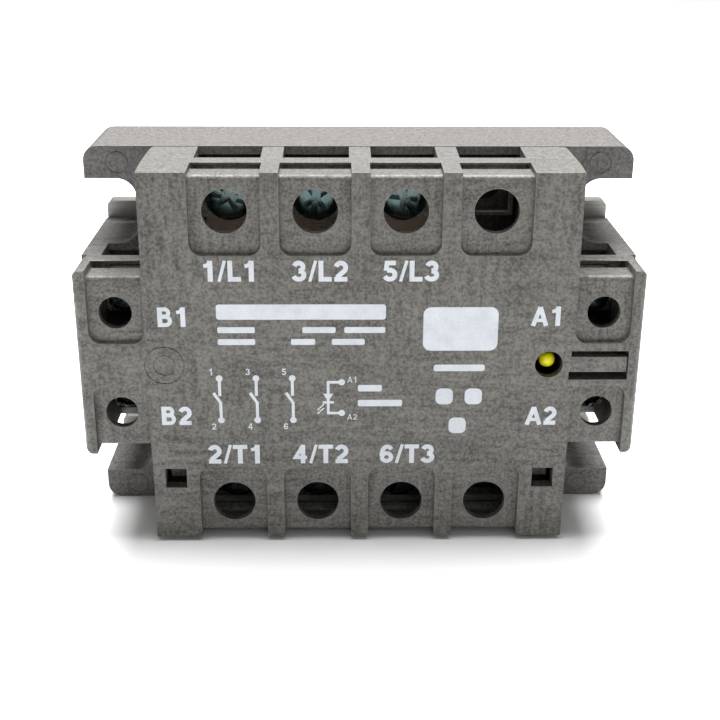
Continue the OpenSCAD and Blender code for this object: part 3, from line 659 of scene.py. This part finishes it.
class ScrewRecipe(Recipe):
    """A pan head screw with a rolled thread, a slot and a cross recess.

    The underside of its head lies at z = 0 and its shank points down.
    """

    sink = 0.4 * MM         # how far the shank reaches into the head
    thread_depth = 1.1      # depth of the thread as a share of half its pitch
    tip_slope = 0.7         # how fast the tip narrows
    dome = 0.45             # height of the head's rounded part, as a share of the head

    def __init__(self) -> None:
        """Builds a threaded shank, and a domed head with its recess cut out."""
        super().__init__("terminal screw", **{
            "Shank d": 0.0049, "Length": 0.011, "Head d": 0.0092, "Head h": 0.003,
            "Pitch": 0.0008, "Slot turn": 0.0})
        head = self._head()
        recess = self._recess()
        cut = self.add("GeometryNodeMeshBoolean", {"operation": "DIFFERENCE", "solver": "EXACT"})
        self.feed(cut.inputs[0], head)
        self.feed(cut.inputs[1], recess)
        self.finish(self.join(cut.outputs[0], self._shank()), smooth=math.radians(40.0))

    def _polar(self) -> tuple[Socket, Socket, Socket]:
        """Radius, angle and height of each point."""
        here = self.add("ShaderNodeSeparateXYZ", Vector=self.add("GeometryNodeInputPosition"))
        x, y, z = here.outputs
        radius = self.math("SQRT", self.math("ADD", self.times(x, x),
                                             self.times(y, y)))
        return radius, self.math("ARCTAN2", y, x), z

    def _shank(self) -> Socket:
        """A cylinder whose wall swings in and out along a helix, with a tapered tip."""
        length = self.math("ADD", self.size("Length"), self.sink)
        body = self.add("GeometryNodeMeshCylinder", {"fill_type": "TRIANGLE_FAN"}, Vertices=28,
                        Side_Segments=110, Radius=self.times(self.size("Shank d"), 0.5),
                        Depth=length)
        low = self.add("GeometryNodeTransform", Geometry=body)
        middle = self.math("MULTIPLY_ADD", length, -0.5, self.sink)
        self.feed(low.inputs["Translation"], self.vector(0.0, 0.0, middle))
        radius, angle, z = self._polar()
        turns = self.math("ADD", self.math("DIVIDE", z, self.size("Pitch")),
                          self.times(angle, -0.5 / math.pi))
        wave = self.math("PINGPONG", turns, 0.5)
        depth = self.times(wave, self.times(self.size("Pitch"), self.thread_depth))
        tip = self.math("SUBTRACT", self.times(self.size("Shank d"), 0.18),
                        self.math("ADD", z, self.size("Length")))
        inward = self.math("ADD", depth, self.times(self.math("MAXIMUM", tip, 0.0),
                                                     self.tip_slope))
        share = self.math("DIVIDE", inward, self.times(self.size("Shank d"), -0.5))
        return self._pulled(low, share)

    def _pulled(self, body: object, share: Socket) -> Socket:
        """Moves each point of a body along its radius by a share of that radius."""
        flat = self.add("ShaderNodeVectorMath", {"operation": "MULTIPLY"})
        self.feed(flat.inputs[0], self.add("GeometryNodeInputPosition"))
        flat.inputs[1].default_value = (1.0, 1.0, 0.0)
        step = self.add("ShaderNodeVectorMath", {"operation": "SCALE"})
        self.feed(step.inputs[0], flat)
        self.feed(step.inputs["Scale"], share)
        return self.add("GeometryNodeSetPosition", Geometry=body, Offset=step).outputs[0]

    def _head(self) -> Socket:
        """A short cylinder whose top is rounded down towards its edge."""
        height = self.size("Head h")
        half = self.times(self.size("Head d"), 0.5)
        body = self.add("GeometryNodeMeshCylinder", {"fill_type": "TRIANGLE_FAN"}, Vertices=48,
                        Side_Segments=4, Fill_Segments=14, Radius=half, Depth=height)
        raised = self.add("GeometryNodeTransform", Geometry=body)
        self.feed(raised.inputs["Translation"],
                  self.vector(0.0, 0.0, self.times(height, 0.5)))
        radius, _, z = self._polar()
        dome = self.times(height, self.dome)
        past = self.math("MAXIMUM", self.math("SUBTRACT", radius, self.math("SUBTRACT", half, dome)),
                         0.0)
        square = self.math("SUBTRACT", self.times(dome, dome),
                           self.times(past, past))
        drop = self.math("SUBTRACT", dome, self.math("SQRT", self.math("MAXIMUM", square, 0.0)))
        share = self.math("DIVIDE", z, height)
        down = self.times(self.times(drop, share), -1.0)
        return self.add("GeometryNodeSetPosition", Geometry=raised,
                        Offset=self.vector(0.0, 0.0, down)).outputs[0]

    def _recess(self) -> Socket:
        """The slot right across the head and the tapered cross in its middle."""
        height = self.size("Head h")
        wide = self.size("Head d")
        middle = self.vector(0.0, 0.0, height)
        deep = self.times(height, 1.1)
        slot = self.block(self.times(wide, 1.2), self.times(wide, 0.13), deep,
                          middle)
        cut = self.add("GeometryNodeMeshBoolean", {"operation": "UNION", "solver": "EXACT"})
        self.feed(cut.inputs[1], slot)
        for degrees in (45.0, 135.0):
            arm = self.block(self.times(wide, 0.56), self.times(wide, 0.12),
                             self.times(height, 1.3), middle,
                             (0.0, 0.0, math.radians(degrees)))
            self.feed(cut.inputs[1], arm)
        turned = self.add("GeometryNodeTransform", Geometry=cut.outputs[0])
        self.feed(turned.inputs["Rotation"], self.vector(0.0, 0.0, self.size("Slot turn")))
        return turned.outputs[0]


@dataclass
class Terminals:
    """Screws, clamp plates and contact strips of all ten terminals."""

    shop: MaterialShop
    edge: float = 0.12 * MM
    recipe: ScrewRecipe = field(init=False)

    def build(self) -> None:
        """Makes every terminal's pieces."""
        self.recipe = ScrewRecipe()
        for terminal in POWER_TERMINALS:
            self._terminal(terminal, "power", POWER_SCREW, "power_strap_", TINNED_COPPER)
        for terminal in CONTROL_TERMINALS:
            self._terminal(terminal, "control", CONTROL_SCREW, "control_strip_", TIN)
        for node in ("power_nuts", "control_nuts"):
            dress_node(node, self.shop.get(ZINC_WITH_PAINTED_SHADE))

    def _terminal(self, terminal: str, kind: str, size: ScrewSize, contact: str,
                  metal: Finish) -> None:
        """Makes one terminal's screw, clamp plate and contact.

        Args:
            terminal: the terminal's name in lower case.
            kind: power or control.
            size: the size of its screw.
            contact: what its contact's name starts with.
            metal: the contact's finish.
        """
        screw, clamp = (f"{kind}_{part}_{terminal}" for part in ("screw", "clamp"))
        low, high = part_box(screw)
        middle = (low + high) / 2
        place = out_of_front(middle.x, low.y + size.head_h, middle.z)
        made = self.recipe.make(screw + "_threaded", self.shop.get(ZINC_WITH_PAINTED_SHADE), place,
                                Shank_d=size.shank_d, Length=size.length, Head_d=size.head_d,
                                Head_h=size.head_h, Pitch=size.pitch,
                                Slot_turn=math.radians(SLOT_TURN[terminal]))
        settle(made, screw, "zinc_screw", screw)
        for node, body, finish in ((clamp, clamp, TIN), (contact + terminal, "root", metal)):
            settle(Rounding(self.edge).copy(node, self.shop.get(finish)), body, finish.name, node)


# ---------------------------------------------------------------- circuit


class SolderRecipe(Recipe):
    """Solder cones standing on the board at a straight row of even pins."""

    def __init__(self) -> None:
        """Builds the tree: a cone on each point of a row, slightly different in size."""
        super().__init__("solder row", **{"Pins": 2.0, "Pitch": 0.00254, "Radius": 0.0006,
                                          "Height": 0.0007, "Seed": 3.0})
        row = self.add("GeometryNodeMeshLine", {"mode": "OFFSET"}, Count=self.size("Pins"))
        self.feed(row.inputs["Offset"], self.vector(self.size("Pitch"), 0.0, 0.0))
        cone = self.add("GeometryNodeMeshCone", Vertices=20, Side_Segments=3,
                        Radius_Top=self.times(self.size("Radius"), 0.45),
                        Radius_Bottom=self.size("Radius"), Depth=self.size("Height"))
        spread = self.add("FunctionNodeRandomValue", {"data_type": "FLOAT"})
        self.feed(spread.inputs[2], 0.88)
        self.feed(spread.inputs[3], 1.12)
        self.feed(spread.inputs["Seed"], self.size("Seed"))
        placed = self.add("GeometryNodeInstanceOnPoints", Points=row, Instance=cone)
        self.feed(placed.inputs["Scale"], spread.outputs[1])
        self.finish(placed, smooth=math.radians(50.0))


@dataclass
class Electronics:
    """The circuit board, its parts and the power part under it."""

    shop: MaterialShop
    pin_past: float = 2.15 * MM      # the outer pins stand this far past a phase's chips
    pin_inside: float = 3.25 * MM    # and this far inside their upper and lower ends
    solder_r: float = 1.1 * MM
    solder_h: float = 0.7 * MM

    def build(self) -> None:
        """Gives each inner node its finish, rounded where the real part is."""
        finishes = {"potting_gel": GEL, "gate_pins": TIN, "lamp_leads": TIN}
        for phase in PHASES:
            finishes["ceramic_" + phase] = CERAMIC
            finishes["copper_pads_" + phase] = COPPER
            finishes["thyristors_" + phase] = SILICON
        for node, finish in finishes.items():
            dress_node(node, self.shop.get(finish))
        disc = 0.8 * MM
        rounded = {
            "circuit_board": (MASK, Rounding(0.05 * MM), "board"),
            "optocouplers": (WHITE_EPOXY, Rounding(0.07 * MM), "white_package"),
            "varistors": (BLUE_EPOXY, Rounding(disc, 4, shortest=3 * disc), "component_body"),
            "snubber_resistors": (BEIGE_LACQUER, Rounding(0.45 * MM, 4), "component_body"),
            "snubber_capacitors": (BROWN_EPOXY, Rounding(0.35 * MM, 4), "component_body"),
            "input_capacitor": (SLEEVE, Rounding(0.45 * MM, 4), "component_body"),
            "temperature_sensor": (BLACK_EPOXY, Rounding(0.12 * MM), "component_body"),
        }
        for node, (finish, rounding, slot) in rounded.items():
            rounding.room = 0.0
            settle(rounding.copy(node, self.shop.get(finish)), "root", slot, node)
        self._solder_joints()

    def _solder_joints(self) -> None:
        """Solder on the board's front where the thyristors' pins come through."""
        solder = SolderRecipe()
        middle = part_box("circuit_board")[0].y - self.solder_h / 2
        for phase in PHASES:
            low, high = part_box("thyristors_" + phase)
            reach = (high.x - low.x) / 2 + self.pin_past
            rise = (high.z - low.z) / 2 - self.pin_inside
            for side, z in (("upper", rise), ("lower", -rise)):
                place = out_of_front((low.x + high.x) / 2 - reach, middle, z)
                made = solder.make(f"solder_{phase}_{side}", self.shop.get(SOLDER), place,
                                   Pins=2, Pitch=2 * reach, Radius=self.solder_r,
                                   Height=self.solder_h, Seed=float(phase))
                settle(made, "root", "tinned_metal")


@dataclass
class StatusLamp:
    """The domed yellow lamp beside the tongue."""

    shop: MaterialShop
    rings: int = 14
    steps: int = 40
    collar_h: float = 1.0 * MM
    collar_step: float = 0.35 * MM
    rim: float = 0.15 * MM

    def build(self) -> None:
        """Turns the lamp's outline round its axis."""
        low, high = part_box("status_lamp")
        middle = (low + high) / 2
        collar = (high.x - low.x) / 2
        radius = collar - self.collar_step
        length = high.y - low.y
        face = collar - self.rim
        outline = [(0.0, 0.0), (face, 0.0), (collar, self.rim), (collar, self.collar_h - self.rim),
                   (face, self.collar_h), (radius, self.collar_h)]
        for ring in range(self.rings + 1):
            angle = math.pi / 2 * ring / self.rings
            outline.append((radius * math.cos(angle), length - radius + radius * math.sin(angle)))
        lamp = turned("status_lamp_lens", outline, self.steps, self.shop.get(YELLOW_LENS),
                      out_of_front(middle.x, high.y, middle.z))
        settle(lamp, "root", "yellow_lens", "status_lamp")


def turned(name: str, outline: list[Point], steps: int, material: Material,
           place: Matrix) -> Piece:
    """A closed solid turned round z from an outline that starts and ends on the axis.

    Args:
        name: the piece's name.
        outline: radius and height of each point.
        steps: how many steps make a full turn.
        material: the piece's finish.
        place: where the solid's own origin and axes go.

    Returns:
        The turned piece.
    """
    shape = bmesh.new()
    corners = [shape.verts.new((r, 0.0, z)) for r, z in outline]
    edges = [shape.edges.new(pair) for pair in zip(corners, corners[1:])]
    bmesh.ops.spin(shape, geom=[*corners, *edges], axis=(0, 0, 1), cent=(0, 0, 0), steps=steps,
                   angle=2 * math.pi)
    bmesh.ops.remove_doubles(shape, verts=shape.verts, dist=0.001 * MM)
    bmesh.ops.dissolve_degenerate(shape, edges=shape.edges, dist=0.0005 * MM)
    bmesh.ops.recalc_face_normals(shape, faces=shape.faces)
    mesh = end_mesh(shape, name)
    mesh.transform(place)
    mesh.materials.append(material)
    mesh.shade_smooth()
    mesh.set_sharp_from_angle(angle=math.radians(45.0))
    return mesh_object(name, mesh)


# ---------------------------------------------------------------- printing


def arc(x: float, z: float, across: float, up: float, start: float, end: float,
        steps: int = 12) -> list[Point]:
    """Points along part of an ellipse.

    Args:
        x, z: the middle.
        across, up: half its width and half its height.
        start, end: the first and the last point's angle in degrees.
        steps: how many pieces it is made of.

    Returns:
        The points in order.
    """
    angles = [math.radians(start + (end - start) * step / steps) for step in range(steps + 1)]
    return [(x + across * math.cos(a), z + up * math.sin(a)) for a in angles]


@dataclass(frozen=True)
class Letter:
    """A letter drawn with strokes in a field one unit high.

    Each stroke is a line of points and its width as a share of the full weight.
    """

    advance: float
    strokes: tuple[tuple[list[Point], float], ...]


LETTERS = {
    "1": Letter(0.74, (([(0.40, 0.0), (0.40, 1.0)], 1.0),
                       ([(0.10, 0.74), (0.26, 0.77), (0.38, 0.90)], 0.75))),
    "2": Letter(0.78, ((arc(0.34, 0.66, 0.22, 0.23, 165.0, -35.0) + [(0.16, 0.20)], 0.95),
                       ([(0.04, 0.11), (0.64, 0.11)], 0.95))),
    "3": Letter(0.78, ((arc(0.33, 0.70, 0.20, 0.19, 165.0, -90.0), 0.95),
                       (arc(0.33, 0.31, 0.24, 0.20, 90.0, -165.0), 0.95))),
    "4": Letter(0.78, (([(0.44, 0.92), (0.10, 0.32), (0.66, 0.32)], 0.80),
                       ([(0.46, 0.0), (0.46, 1.0)], 0.95))),
    "5": Letter(0.78, (([(0.60, 0.89), (0.20, 0.89), (0.15, 0.52)], 0.90),
                       (arc(0.33, 0.33, 0.24, 0.22, 125.0, -160.0), 0.95))),
    "6": Letter(0.78, ((arc(0.35, 0.32, 0.22, 0.21, 180.0, -180.0, 20), 0.90),
                       (arc(0.38, 0.46, 0.26, 0.43, 195.0, 40.0), 0.90))),
    "/": Letter(0.42, (([(0.05, 0.0), (0.33, 1.0)], 0.62),)),
    "A": Letter(0.90, (([(0.10, 0.0), (0.42, 0.97)], 0.92), ([(0.74, 0.0), (0.42, 0.97)], 0.92),
                       ([(0.20, 0.29), (0.64, 0.29)], 0.75))),
    "B": Letter(0.86, (([(0.15, 0.0), (0.15, 1.0)], 1.0),
                       ([(0.14, 0.90), (0.40, 0.90)] + arc(0.40, 0.72, 0.17, 0.18, 90.0, -90.0)
                        + [(0.14, 0.54)], 0.85),
                       ([(0.14, 0.52), (0.42, 0.52)] + arc(0.43, 0.31, 0.20, 0.21, 90.0, -90.0)
                        + [(0.14, 0.10)], 0.85))),
    "L": Letter(0.72, (([(0.15, 1.0), (0.15, 0.11), (0.64, 0.11)], 0.95),)),
    "T": Letter(0.80, (([(0.02, 0.89), (0.72, 0.89)], 0.92), ([(0.37, 0.0), (0.37, 0.98)], 1.0))),
}


@dataclass
class Legends:
    """What is printed on the front: terminal marks, circuit symbols and plain bars.

    Places are in millimetres, x to the right and z up from the middle of the front.
    """

    shop: MaterialShop
    thickness: float = 0.02
    lift: float = 0.005
    layers: int = 9
    layer_step: float = 0.0015
    mark: float = 3.88          # height of the terminal marks
    line: float = 0.5           # width of the symbols' lines
    node_r: float = 0.62        # radius of the symbols' end dots
    strokes: list[Piece] = field(default_factory=list)

    def build(self) -> None:
        """Makes all the print as one thin piece."""
        self._terminal_marks()
        self._plain_bars()
        for x, top, bottom in ((-25.9, "1", "2"), (-19.15, "3", "4"), (-12.5, "5", "6")):
            self._switch_symbol(x, top, bottom)
        self._lamp_symbol()
        self._plain_emblems()
        piece = self._joined()
        settle(piece, "root", "cover_plastic")

    def _terminal_marks(self) -> None:
        """The standard terminal numbers beside the terminals."""
        for x, label in ((-23.4, "1/L1"), (-7.25, "3/L2"), (8.95, "5/L3")):
            self._text(label, x, 18.0, self.mark)
        for x, label in ((-23.5, "2/T1"), (-7.3, "4/T2"), (8.9, "6/T3")):
            self._text(label, x, -18.05, self.mark)
        for x, z, label in ((-33.9, 9.35, "B1"), (-34.1, -10.1, "B2"), (33.8, 9.45, "A1"),
                            (33.8, -10.25, "A2")):
            self._text(label, x, z, self.mark * 0.96)

    def _text(self, label: str, x: float, z: float, height: float, weight: float = 0.235) -> None:
        """One short mark in plain upright letters made of even strokes.

        Args:
            label: the mark.
            x, z: the middle of the mark.
            height: the letters' height.
            weight: the strokes' width, as a share of the height.
        """
        width = sum(LETTERS[letter].advance for letter in label) - 0.1
        left = x - width * height / 2
        for letter in label:
            shape = LETTERS[letter]
            for points, share in shape.strokes:
                self._stroke([(px * height, pz * height) for px, pz in points],
                             weight * height * share, left, z - height / 2)
            left += shape.advance * height

    def _stroke(self, points: list[Point], width: float, x: float, z: float) -> None:
        """A bent line of even width with mitred bends and square ends.

        Args:
            points: the line's middle, from one end to the other.
            width: its width.
            x, z: move it to the right and up.
        """
        sides: list[list[Point]] = [[], []]
        for index, (px, pz) in enumerate(points):
            before = points[max(index - 1, 0)]
            after = points[min(index + 1, len(points) - 1)]
            ways = [Vector((b[0] - a[0], b[1] - a[1])).normalized()
                    for a, b in ((before, (px, pz)), ((px, pz), after)) if a != b]
            along = sum(ways, Vector((0.0, 0.0))).normalized()
            reach = width / 2 / max(along.dot(ways[0]), 0.35)
            for side, sign in enumerate((1, -1)):
                sides[side].append((px - sign * along.y * reach, pz + sign * along.x * reach))
        self._outline(sides[0] + sides[1][::-1], x, z)

    def _place(self, x: float, z: float) -> Matrix:
        """Where a flat drawing in millimetres goes on the front face."""
        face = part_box("cover")[0].y
        layer = self.layer_step * (len(self.strokes) % self.layers)
        depth = face - (self.lift + layer + self.thickness / 2) * MM
        return out_of_front(x * MM, depth, z * MM) @ Matrix.Scale(MM, 4)

    def _outline(self, points: list[Point], x: float = 0.0, z: float = 0.0) -> None:
        """A thin closed slab with a straight-sided outline.

        Args:
            points: the outline's corners.
            x, z: move it to the right and up.
        """
        shape = bmesh.new()
        half = self.thickness / 2
        face = shape.faces.new([shape.verts.new((px, pz, -half)) for px, pz in points])
        grown = bmesh.ops.extrude_face_region(shape, geom=[face])
        raised = [item for item in grown["geom"] if isinstance(item, bmesh.types.BMVert)]
        bmesh.ops.translate(shape, verts=raised, vec=(0.0, 0.0, self.thickness))
        bmesh.ops.recalc_face_normals(shape, faces=shape.faces)
        mesh = end_mesh(shape, "stroke")
        mesh.transform(self._place(x, z))
        self.strokes.append(mesh_object("stroke", mesh))

    def _bar(self, x: float, z: float, width: float, height: float, turn: float = 0.0) -> None:
        """A plain straight bar, turned by degrees about its middle."""
        c, s = math.cos(math.radians(turn)), math.sin(math.radians(turn))
        corners = [(-width / 2, -height / 2), (width / 2, -height / 2),
                   (width / 2, height / 2), (-width / 2, height / 2)]
        self._outline([(c * a - s * b, s * a + c * b) for a, b in corners], x, z)

    def _dot(self, x: float, z: float, radius: float, steps: int = 20) -> None:
        """A round dot."""
        self._outline(arc(0.0, 0.0, radius, radius, 0.0, 360.0, steps)[:-1], x, z)

    def _rounded(self, x: float, z: float, width: float, height: float, radius: float) -> None:
        """A bar with rounded corners."""
        points: list[Point] = []
        for quarter, (i, j) in enumerate(((1, 1), (-1, 1), (-1, -1), (1, -1))):
            points += arc(i * (width / 2 - radius), j * (height / 2 - radius), radius, radius,
                          90.0 * quarter, 90.0 * (quarter + 1), 4)
        self._outline(points, x, z)

    def _plain_bars(self) -> None:
        """Rows of plain bars where the type plate's lines stand."""
        self._rounded(-10.7, 10.3, 30.6, 2.9, 0.5)
        for x, width in ((-22.5, 6.8), (-7.5, 6.0), (0.8, 7.4)):
            self._rounded(x, 6.85, width, 1.15, 0.3)
        for x, width in ((-22.5, 6.8), (-10.4, 4.4), (-2.2, 6.0)):
            self._rounded(x, 4.55, width, 1.15, 0.3)
        self._rounded(1.8, -4.6, 4.4, 1.3, 0.3)
        self._rounded(3.7, -7.6, 8.2, 1.3, 0.3)

    def _switch_symbol(self, x: float, top: str, bottom: str) -> None:
        """The usual symbol of an open contact between two numbered ends."""
        self._dot(x, -2.6, self.node_r)
        self._dot(x + 0.1, -11.0, self.node_r)
        self._bar(x, -4.4, 0.55, 3.4)
        self._bar(x + 0.1, -9.2, 0.55, 3.6)
        self._bar(x - 0.5, -6.55, 0.55, 2.5, 32.0)
        self._text(top, x - 1.5, -1.3, 1.35, 0.15)
        self._text(bottom, x - 1.3, -12.3, 1.35, 0.15)

    def _lamp_symbol(self) -> None:
        """The usual symbol of a light-emitting diode between the input terminals."""
        x, left = -3.4, -5.9
        for z in (-3.4, -9.6):
            self._dot(x, z, self.node_r)
            self._bar((x + left) / 2, z, x - left, self.line)
        self._bar(left, -6.5, self.line, 6.7)
        self._outline([(-0.95, 0.7), (0.0, -0.85), (0.95, 0.7)], left, -6.4)
        self._bar(left, -7.45, 2.1, 0.45)
        for step in (0.0, 0.75):
            self._bar(left - 1.2, -8.2 - step, 1.1, 0.25, 45.0)
            self._outline([(-0.35, -0.35), (0.25, -0.1), (-0.1, 0.25)], left - 1.75, -8.75 - step)
        self._text("A1", -1.45, -2.9, 1.2, 0.13)
        self._text("A2", -1.45, -10.4, 1.2, 0.13)

    def _plain_emblems(self) -> None:
        """Blank shapes where makers and test houses put their marks."""
        self._rounded(18.2, 7.0, 13.6, 8.4, 1.4)
        self._rounded(18.2, -0.6, 9.4, 1.3, 0.4)
        for x, z in ((15.6, -6.3), (21.0, -6.3), (18.2, -12.2)):
            self._rounded(x, z, 3.2, 3.2, 1.0)

    def _joined(self) -> Piece:
        """All strokes as one mesh with the ink's finish."""
        shape = bmesh.new()
        for stroke in self.strokes:
            shape.from_mesh(stroke.data)
            bpy.data.objects.remove(stroke)
        mesh = end_mesh(shape, "front_print")
        paint(mesh, self.shop.get(PRINT_INK))
        for polygon in mesh.polygons:
            polygon.material_index = 0
        return mesh_object("front_print", mesh)


# ---------------------------------------------------------------- stage


@dataclass
class Studio:
    """A pale table, soft light and the camera."""

    shop: MaterialShop
    lens: float = 60.82
    place: tuple[float, float, float] = (-3.81 * MM, -247.58 * MM, 83.04 * MM)
    pitch: float = 21.63
    yaw: float = -1.043
    roll: float = -0.275
    table: float = 3.0
    surround: float = 0.30
    lights: tuple = (("overhead", (0.0, 0.28, 0.9), 0.9, 34.0),    # name, place, size, power
                     ("front", (0.25, -1.1, 0.55), 0.6, 1.0))

    def build(self) -> None:
        """Sets the scene round the object."""
        self._camera()
        self._table()
        self._light()

    def _camera(self) -> None:
        """A camera in front of the relay and a little above it."""
        data = bpy.data.cameras.new("camera")
        data.lens = self.lens
        data.sensor_width = 36.0
        data.clip_start = 0.01
        data.clip_end = 20.0
        camera = bpy.data.objects.new("camera", data)
        bpy.context.scene.collection.objects.link(camera)
        pitch, yaw, roll = (math.radians(a) for a in (self.pitch, self.yaw, self.roll))
        turn = (Matrix.Rotation(yaw, 4, "Z") @ Matrix.Rotation(math.pi / 2 - pitch, 4, "X")
                @ Matrix.Rotation(-roll, 4, "Z"))
        camera.matrix_world = Matrix.Translation(self.place) @ turn
        bpy.context.scene.camera = camera

    def _table(self) -> None:
        """A wide pale table top under the relay."""
        floor = CAD_BOX[0][2]
        size = self.table
        mesh = bpy.data.meshes.new("table_top")
        corners = [(-size, -size, floor), (size, -size, floor), (size, size, floor),
                   (-size, size, floor)]
        mesh.from_pydata(corners, [], [(0, 1, 2, 3)])
        mesh.materials.append(self.shop.get(TABLE))
        mesh_object("table_top", mesh)

    def _light(self) -> None:
        """An even white surround and a large soft light overhead."""
        world = bpy.data.worlds.new("surround")
        bpy.context.scene.world = world
        world.use_nodes = True
        background = world.node_tree.nodes["Background"]
        background.inputs["Color"].default_value = (1.0, 1.0, 1.0, 1.0)
        background.inputs["Strength"].default_value = self.surround
        for name, place, size, power in self.lights:
            data = bpy.data.lights.new(name, "AREA")
            data.size = size
            data.energy = power
            lamp = bpy.data.objects.new(name, data)
            bpy.context.scene.collection.objects.link(lamp)
            aim = Vector((0.0, 0.0, 0.0)) - Vector(place)
            lamp.matrix_world = (Matrix.Translation(place)
                                 @ aim.to_track_quat("-Z", "Y").to_matrix().to_4x4())
        bpy.context.scene.view_settings.view_transform = "Standard"


def main() -> None:
    """Builds every sub-assembly in order."""
    logging.basicConfig(level=logging.INFO, format="%(message)s")
    shop = MaterialShop()
    for part in (Studio(shop), Housing(shop), BasePlate(shop), Terminals(shop),
                 Electronics(shop), StatusLamp(shop), Legends(shop)):
        log.info("building %s", type(part).__name__)
        part.build()


if __name__ == "__main__":
    main()
